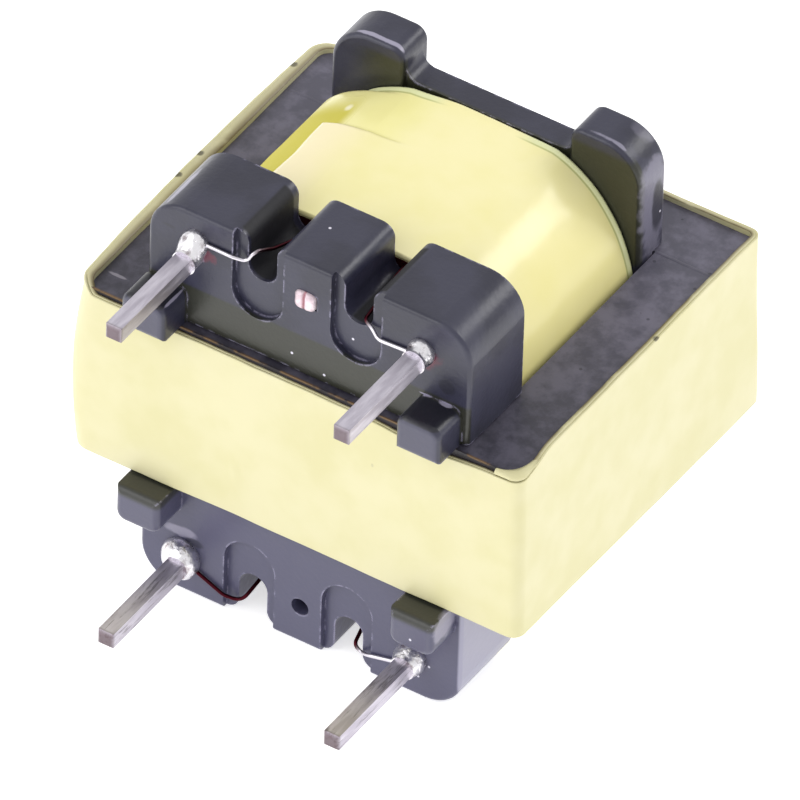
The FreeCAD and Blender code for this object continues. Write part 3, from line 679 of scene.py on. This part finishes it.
# %% [markdown]
# The wrap's mesh is made of rings, front to rear, dense enough for the steps
# of the tape to show. A last ring at each end lies further in and gives the
# film an edge; the front one stays shallow, so that the dark red winding shows
# through the notches of the rail.

# %% Coil wrap
RING_POINTS = 360
RING_ROWS = 90
REAR_EDGE, FRONT_EDGE = -0.5, -0.08


def make_coil_wrap():
    points, cover = [], []
    for row in range(RING_ROWS):
        y = COIL_FRONT + (COIL_REAR - COIL_FRONT) * row / (RING_ROWS - 1)
        for column in range(RING_POINTS):
            angle = 2 * math.pi * column / RING_POINTS
            x, z = coil_point(angle, y, 0)
            outward, layer = coil_layers(x, y, z)
            x, z = coil_point(angle, y, outward)
            points.append((x, y, z))
            cover.append(layer)
    for y, inward in ((COIL_REAR, REAR_EDGE), (COIL_FRONT, FRONT_EDGE)):
        for column in range(RING_POINTS):
            x, z = coil_point(2 * math.pi * column / RING_POINTS, y, inward)
            points.append((x, y, z))
            cover.append(1.0)
    faces = [face[::-1] for face in grid_faces(RING_ROWS + 2, RING_POINTS, close_rows=True)]
    wrap = new_piece("coil_wrap", points, faces, coil_film)
    wrap.data.attributes.new("cover", "FLOAT", "POINT").data.foreach_set("value", cover)
    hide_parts("coil_tape")


make_coil_wrap()

# %% [markdown]
# The band round the core is the same kind of film, paler on top of the dark
# steel. Its top edge is nicked in a few places, and a dark brown line runs
# where its inner turn meets the steel. Again the mesh stores where that rim is,
# because the edge wanders and no plain mask by height would follow it.

# %% Finish of the core's tape
NICKS = ((-7.3, 4.8, 3.1), (-7.4, 0.2, 3.1), (-7.4, -0.9, 3.1), (7.2, 0.8, 3.1), (-4.6, -6.2, 2.8))
NICK_REACH = (0.16, 0.14, 0.1)


def core_tape_finish():
    """The band's finish: pale film, a dark brown rim at the steel and a few nicks."""
    finish, base, roughness = tape_finish("core_tape", (215, 209, 168), (209, 203, 155), 0.3)
    rim = finish.mm.add("Attribute", {"attribute_name": "rim"}, output="Fac")
    rim_noise = finish.cloud(1.1, 3).between(0.25, 0.5)
    base = (rim * rim_noise * 0.9).tinted(base, (96, 78, 48))
    for middle in NICKS:
        base = (finish.patch(middle, NICK_REACH) * 0.8).tinted(base, (62, 56, 40))
    finish.feed(Base_Color=base, Roughness=roughness)
    finish.relief(finish.cloud(1.2, 3), 0.012)
    return finish


band_film = core_tape_finish()

# %% [markdown]
# Seen from above, the band is a rectangle with round corners, tight at the
# right and wider at the left. Four arcs with a straight run after each make
# it. A beveled rectangle would do that too, but this way every point also
# knows which way is outward, and the film can be pushed along it.

# %% Outline of the band
CORNER_RADII = {(1, -1): 0.24, (1, 1): 0.16, (-1, 1): 0.45, (-1, -1): 0.4}
CORNER_STEPS = 12
SIDE_STEPS = 140
QUARTER = math.pi / 2


def band_outline(offset):
    """Points round the core, `offset` mm off it, with their outward direction."""
    half_x, half_y = CORE.x + offset, CORE.y + offset
    outline = []
    corners = list(CORNER_RADII)
    for index, hand in enumerate(corners):
        following = corners[(index + 1) % 4]
        radius, next_radius = CORNER_RADII[hand] + offset, CORNER_RADII[following] + offset
        middle = Vector((hand[0] * (half_x - radius), hand[1] * (half_y - radius)))
        next_middle = Vector((following[0] * (half_x - next_radius), following[1] * (half_y - next_radius)))
        start = (index - 1) * QUARTER
        for step in range(CORNER_STEPS + 1):
            out = heading(start + QUARTER * step / CORNER_STEPS)
            outline.append((middle + out * radius, out))
        side_from, side_to = middle + out * radius, next_middle + out * next_radius
        for step in range(1, SIDE_STEPS):
            outline.append((side_from.lerp(side_to, step / SIDE_STEPS), out))
    return outline


print("band outline:", len(band_outline(0)), "points")

# %% [markdown]
# The tape was wound by hand. Its top edge wanders, lies low along the front
# and dips before the right tab. It touches the steel only in places: it bellies
# out at the left and flares off at the right. Cloth simulation could find such
# a shape, but film is too stiff to need it, and formulas hit the places where
# the photograph shows them.

# %% How the band hangs
BAND_FRONT_TOP, BAND_SIDE_TOP = 2.74, 3.06
BAND_FRONT_LOW, BAND_REAR_LOW = -2.87, -3.04
TAB_DIP, TAB_DIP_X, TAB_DIP_REACH = 0.16, 4.1, 1.3
BELLY_MIDDLE, BELLY_REACH = -0.3, 3.1
LEFT_GAP, LEFT_BOW, LEFT_BELLY, CORNER_BELLY = 0.14, 0.16, 0.03, 0.14
RIGHT_GAP, RIGHT_FLARE = 0.05, 0.1
FRONT_GAP, FRONT_BELLY = 0.02, 0.2
REAR_GAP, REAR_FLARE = 0.04, 0.12


def band_top(x, y):
    """Height of the band's wandering top edge."""
    share = max(soft_step(y, -6.0, -4.4), soft_step(-x, 6.6, 7.1))
    dip = TAB_DIP * math.exp(-((x - TAB_DIP_X) / TAB_DIP_REACH) ** 2) * (1 - share)
    wander = 0.03 * ripple(x, y, 0, 2.6, 3.0) + 0.016 * ripple(x, y, 0, 0.7, 6.0)
    return BAND_FRONT_TOP + (BAND_SIDE_TOP - BAND_FRONT_TOP) * share - dip + wander


def band_low(x, y):
    """Height of the band's lower edge."""
    share = (y + CORE.y) / (2 * CORE.y)
    wander = 0.03 * ripple(x, y, 0, 2.6, 7.0) + 0.012 * ripple(x, y, 0, 0.8, 8.0)
    return BAND_FRONT_LOW + (BAND_REAR_LOW - BAND_FRONT_LOW) * share + wander


def hang(x, y, z):
    """How far the film hangs off the steel: a belly at the left, a flare at the right."""
    belly = max(0.0, 1 - ((z - BELLY_MIDDLE) / BELLY_REACH) ** 2)
    near_front = soft_step(-y, 3.0, 6.0)
    down = soft_step(-z, -2.9, 2.9)
    left = LEFT_GAP + LEFT_BOW * (1 - (y / 6) ** 2) + belly * (LEFT_BELLY + CORNER_BELLY * near_front)
    front = FRONT_GAP + FRONT_BELLY * belly * soft_step(-x, 2.0, 7.0)
    off_x = soft_step(x, 5.8, 7.0) * (RIGHT_GAP + RIGHT_FLARE * down) - soft_step(-x, 5.8, 7.0) * left
    off_y = soft_step(y, 5.0, 6.0) * (REAR_GAP + REAR_FLARE * down * soft_step(x, 0, 7.0))
    return Vector((off_x, off_y - soft_step(-y, 5.0, 6.0) * front))


def film_relief(x, y, z):
    """Small unevenness of the film, with the wrinkle below the front's middle."""
    bow = 0.02 * ripple(x, y, z, 2.4, 1.0) + 0.008 * ripple(x, y, z, 0.8, 2.0)
    if y < 0:
        crease = math.exp(-((x + 1.95 + 0.3 * (z + 1.3)) / 0.09) ** 2 - ((z + 1.35) / 0.4) ** 2)
        bow += 0.04 * crease
    return bow


print("film is off the left side by", round(-hang(-7, 0, 0).x, 2), "mm")

# %% [markdown]
# The band is wound twice, so it is two pieces, one turn each. One thick piece
# could stand for both, but then its edge would show no line between the turns.
# The inside of the inner turn stays at the steel, so no gap shows from above.

# %% Core tape
FILM = 0.07
EDGE_SHARES = [0, 0.005, 0.02]
ROW_SHARES = EDGE_SHARES + [0.05 + 0.9 * step / 30 for step in range(31)] + [0.98, 0.995, 1]


def make_band(name, turn_number, raise_top):
    """One turn of tape: up its outside and down its inside."""
    outline = band_outline(FILM * turn_number)
    points, rim = [], []
    for inside in (0, 1):
        at_steel = inside and turn_number == 1
        for share in (ROW_SHARES[::-1] if inside else ROW_SHARES):
            for spot, out in outline:
                top = band_top(spot.x, spot.y) + raise_top
                low = band_low(spot.x, spot.y)
                z = low + (top - low) * share
                slack = hang(spot.x, spot.y, z) * (0 if at_steel else 1)
                away = out * (film_relief(spot.x, spot.y, z) - FILM * inside) + slack
                points.append((spot.x + away.x, spot.y + away.y, z))
                rim.append(1.0 if at_steel and share in (0, 1) else 0.0)
    faces = grid_faces(len(ROW_SHARES) * 2, len(outline), close_rows=True)
    band = new_piece(name, points, faces, band_film)
    band.data.attributes.new("rim", "FLOAT", "POINT").data.foreach_set("value", rim)
    return band


make_band("core_tape_inner", 1, 0.012)
outer_turn = make_band("core_tape_outer", 2, 0.0)
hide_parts("core_tape")

# %% [markdown]
# At the front right corner the film's end is pressed down over the steel, so
# the sharp corner of the sheet shows round. Bending the band itself over would
# twist its quads, so the fold is a small sheet of its own, between the curve
# where it ends on the steel and the outside of the band. A Solidify modifier
# gives it the film's thickness.

# %% Fold of tape over the corner
FOLD_STEPS = 40
FOLD_PARTS = (0.0, 0.3, 0.6, 0.85, 1.0)
FOLD_INNER = ((6.35, -6.0), (6.96, -5.92), (6.99, -5.1))
FOLD_START, FOLD_END = Vector((6.35, -CORE.y - 0.16)), Vector((CORE.x + 0.19, -5.0))
FOLD_RADIUS = 0.38
ROUND_FROM, ROUND_TO = 0.35, 0.6
FOLD_HEIGHT, FOLD_CROWN, FOLD_RISE = 2.91, 0.03, 0.07
FOLD_THICKNESS = 0.03


def fold_inside(share):
    """A point along the edge that lies on the steel, a quadratic curve."""
    start, pull, end = map(Vector, FOLD_INNER)
    return start.lerp(pull, share).lerp(pull.lerp(end, share), share)


def fold_outside(share):
    """A point along the outside of the band's corner: straight, round, straight."""
    middle = Vector((FOLD_END.x - FOLD_RADIUS, FOLD_START.y + FOLD_RADIUS))
    if share < ROUND_FROM:
        return FOLD_START.lerp(Vector((middle.x, FOLD_START.y)), share / ROUND_FROM)
    if share > ROUND_TO:
        return Vector((FOLD_END.x, middle.y)).lerp(FOLD_END, (share - ROUND_TO) / (1 - ROUND_TO))
    return middle + FOLD_RADIUS * heading(QUARTER * ((share - ROUND_FROM) / (ROUND_TO - ROUND_FROM) - 1))


def make_fold():
    points = []
    for step in range(FOLD_STEPS + 1):
        share = step / FOLD_STEPS
        inner, outer = fold_inside(share), fold_outside(share)
        rim_height = band_top(outer.x, outer.y) + FOLD_RISE
        for part in FOLD_PARTS:
            spot = inner.lerp(outer, part)
            over_steel = FOLD_HEIGHT + FOLD_CROWN * math.sin(math.pi * part)
            height = over_steel + (rim_height - over_steel) * soft_step(part, 0.75, 1.0)
            points.append((spot.x, spot.y, height + 0.006 * ripple(share, part, 0, 0.2, 4.0)))
    faces = grid_faces(FOLD_STEPS + 1, len(FOLD_PARTS), close_columns=False)
    fold = new_piece("core_tape_fold", points, faces, band_film)
    fold.modifiers.new("film", "SOLIDIFY").thickness = FOLD_THICKNESS * MM


make_fold()

# %% [markdown]
# Varnish runs into the joint between the E sheet and the I sheet and bridges
# it, so no gap shows on the top. The joint could be closed in the steel, but
# the sheets are separate on the real core. Two very thin slivers stand for it.

# %% Varnish over the sheet joint
VARNISH_SECTION = ((-0.07, -0.01), (-0.05, 0.006), (0.05, 0.006), (0.07, -0.01))
VARNISH_COLUMNS = 40
JOINT = span("i_sheets_rear", 1)[0]


def make_varnish(name, low_x, high_x):
    points = []
    for offset, height in VARNISH_SECTION:
        for column in range(VARNISH_COLUMNS):
            x = low_x + (high_x - low_x) * column / (VARNISH_COLUMNS - 1)
            wave = 0.02 * ripple(x, offset, 0, 0.4, 2.0)
            points.append((x, JOINT + offset + wave, CORE.z + height))
    faces = grid_faces(len(VARNISH_SECTION), VARNISH_COLUMNS, close_rows=True, close_columns=False)
    new_piece(name, points, faces, sheet_steel)


make_varnish("varnish_left", -CORE.x + 0.02, -5.2)
make_varnish("varnish_right", 5.1, CORE.x - 0.02)

# %% [markdown]
# The pins are square wire, tinned in a bath, so they are bright with dull
# streaks along them and a bare, pinkish brown end where they were cut. The
# lower pins are stained darker. The streaks are noise stretched along the pin.
# The solids have sharp corners, and a Bevel modifier rounds them: a shader
# could fake that, but not in the pin's outline.

# %% Pins
PIN_END = span("pin_upper_left", 1)[0]
PIN_ROUNDING = 0.07


def pin_finish():
    finish = Finish("tinned_pin", Metallic=1.0)
    deep, high = map(finish.axis, "YZ")
    streak = finish.cloud(0.5, 4, 0.6, stretch=(2.4, 0.35, 2.4))
    fine = finish.cloud(0.12, 2, stretch=(2, 0.5, 2))
    stain = finish.cloud(0.3, 4, 0.7, stretch=(3, 0.25, 3)).between(0.52, 0.64)
    lower_pins = 1 - high.between(-1, 1)
    tip = 1 - deep.between(PIN_END + 0.02, PIN_END + 0.2)
    base = streak.between(0.35, 0.68).tinted((190, 184, 196), (216, 211, 221))
    base = (stain * (0.08 + lower_pins * 0.5)).tinted(base, (96, 90, 96))
    base = (tip * 0.85).tinted(base, (104, 88, 92))
    finish.feed(Base_Color=base, Roughness=0.34 + streak * 0.35)
    finish.relief(streak * 0.7 + fine * 0.3, 0.02)
    return finish


pins = [node for name, node in NODES.items() if name.startswith("pin_")]
pin_finish().on(*pins)
for pin in pins:
    corners_off = pin.modifiers.new("soft_edges", "BEVEL")
    corners_off.width = PIN_ROUNDING * MM
    corners_off.segments = 3

# %% [markdown]
# The upper middle pin is cut off at the rail and spread by the cutter, so it
# ends in two small pinkish white cushions with a crease between them. Two
# squashed spheres could stand for them, but they would look like beads. Rings
# that shrink towards the middle make one cushion, and a narrow dip the crease.

# %% Cut pin
STUB_RINGS = 12
STUB_COLUMNS = 64
STUB_X, STUB_Y, STUB_Z = (span("cut_pin_stub", axis) for axis in range(3))
STUB_MIDDLE = sum(STUB_X) / 2
STUB_SWELL, CREASE_DEPTH, CREASE_WIDTH = 0.12, 0.07, 0.04


def stub_finish():
    finish = Finish("cut_pin_metal", Metallic=0.35, Roughness=0.38)
    # painted shade: a dark line down the crease between the cushions
    crease = 1 - abs(finish.axis("X") - STUB_MIDDLE).between(0.01, 0.07)
    base = finish.cloud(0.2, 3).between(0.4, 0.6).tinted((238, 222, 228), (214, 194, 202))
    finish.feed(Base_Color=(crease * 0.8).tinted(base, (160, 92, 104)))
    return finish


def make_stub():
    half_x, half_z = (STUB_X[1] - STUB_X[0]) / 2 * 0.92, (STUB_Z[1] - STUB_Z[0]) / 2 * 0.86
    points = []
    for ring in range(STUB_RINGS + 2):
        share = min(1.0, (ring + 0.4) / (STUB_RINGS + 0.4))
        for column in range(STUB_COLUMNS):
            angle = 2 * math.pi * column / STUB_COLUMNS
            across, rise = math.cos(angle), math.sin(angle)
            square = (abs(across) ** 4 + abs(rise) ** 4) ** -0.25
            x = STUB_MIDDLE + half_x * share * square * across
            z = sum(STUB_Z) / 2 + half_z * share * square * rise
            dip = CREASE_DEPTH * math.exp(-((x - STUB_MIDDLE) / CREASE_WIDTH) ** 2) * (1 - share ** 8)
            swell = STUB_SWELL * (1 - share ** 5) + 0.01 * ripple(x, 0, z, 0.15, 3.0)
            y = STUB_Y[0] + (0.08 - swell + dip if ring <= STUB_RINGS else 0.4)
            points.append((x, y, z))
    first, last = range(STUB_COLUMNS), range(len(points) - STUB_COLUMNS, len(points))
    faces = grid_faces(STUB_RINGS + 2, STUB_COLUMNS) + [tuple(first)[::-1], tuple(last)]
    stub = new_piece("cut_pin_cushions", points, faces, stub_finish())
    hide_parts("cut_pin_stub")


make_stub()

# %% [markdown]
# Solder freezes as a shiny blob drawn up round each pin, with a little brown
# flux left in its hollows. The blobs are solids of the frame. Displacement
# could dent them, but they are under a millimetre wide, so bump is enough.

# %% Solder
def solder_finish():
    finish = Finish("solder", Metallic=1.0)
    lump = finish.cloud(0.25, 3)
    finish.feed(Base_Color=lump.between(0.25, 0.5).tinted((170, 160, 164), (240, 238, 242)),
                Roughness=0.16 + lump * 0.25)
    finish.relief(lump, 0.05)
    return finish


solder_finish().on(*(node for name, node in NODES.items() if name.startswith("solder_")))

# %% [markdown]
# The wire ends are enamelled copper, dark red where they leave the coil and
# tinned silver where the solder bath burnt the enamel off. Each could be two
# pieces, but it is one wire, so a mask by its place changes the colour. The
# lower left end kept its enamel.

# %% Leads
def lead_finish():
    finish = Finish("lead_wire", Metallic=1.0)
    across, high = map(finish.axis, "XZ")
    lower_left = (1 - across.between(-0.1, 0.1)) * (1 - high.between(-0.1, 0.1))
    tinned = abs(across).between(1.75, 2.0) * (1 - lower_left)
    finish.feed(Base_Color=tinned.tinted((70, 20, 30), (222, 218, 226)),
                Roughness=0.25 + finish.cloud(0.2) * 0.2)
    return finish


lead_finish().on(*(node for name, node in NODES.items() if name.startswith("lead_")))

# %% [markdown]
# Little shows of the windings: dark red wire behind the notches. Every turn
# could be a thin tube, but a sine along the coil's length gives their ridges
# and their colour. The barrier tape between the windings is the coil's film.

# %% Windings
WIRE_PITCH = 0.12


def winding_finish():
    finish = Finish("enamelled_winding", Metallic=0.7, Roughness=0.3)
    deep = finish.axis("Y")
    turns = deep.math("SINE", deep * (2 * math.pi / WIRE_PITCH)) * 0.5 + 0.5
    finish.feed(Base_Color=turns.tinted((60, 10, 16), (128, 30, 34)))
    finish.relief(turns, 0.03)
    return finish


winding_finish().on(NODES["primary_winding"], NODES["secondary_winding"])
coil_film.on(NODES["barrier_tape"])

# %% [markdown]
# The dressed part must stay as large as its solids.
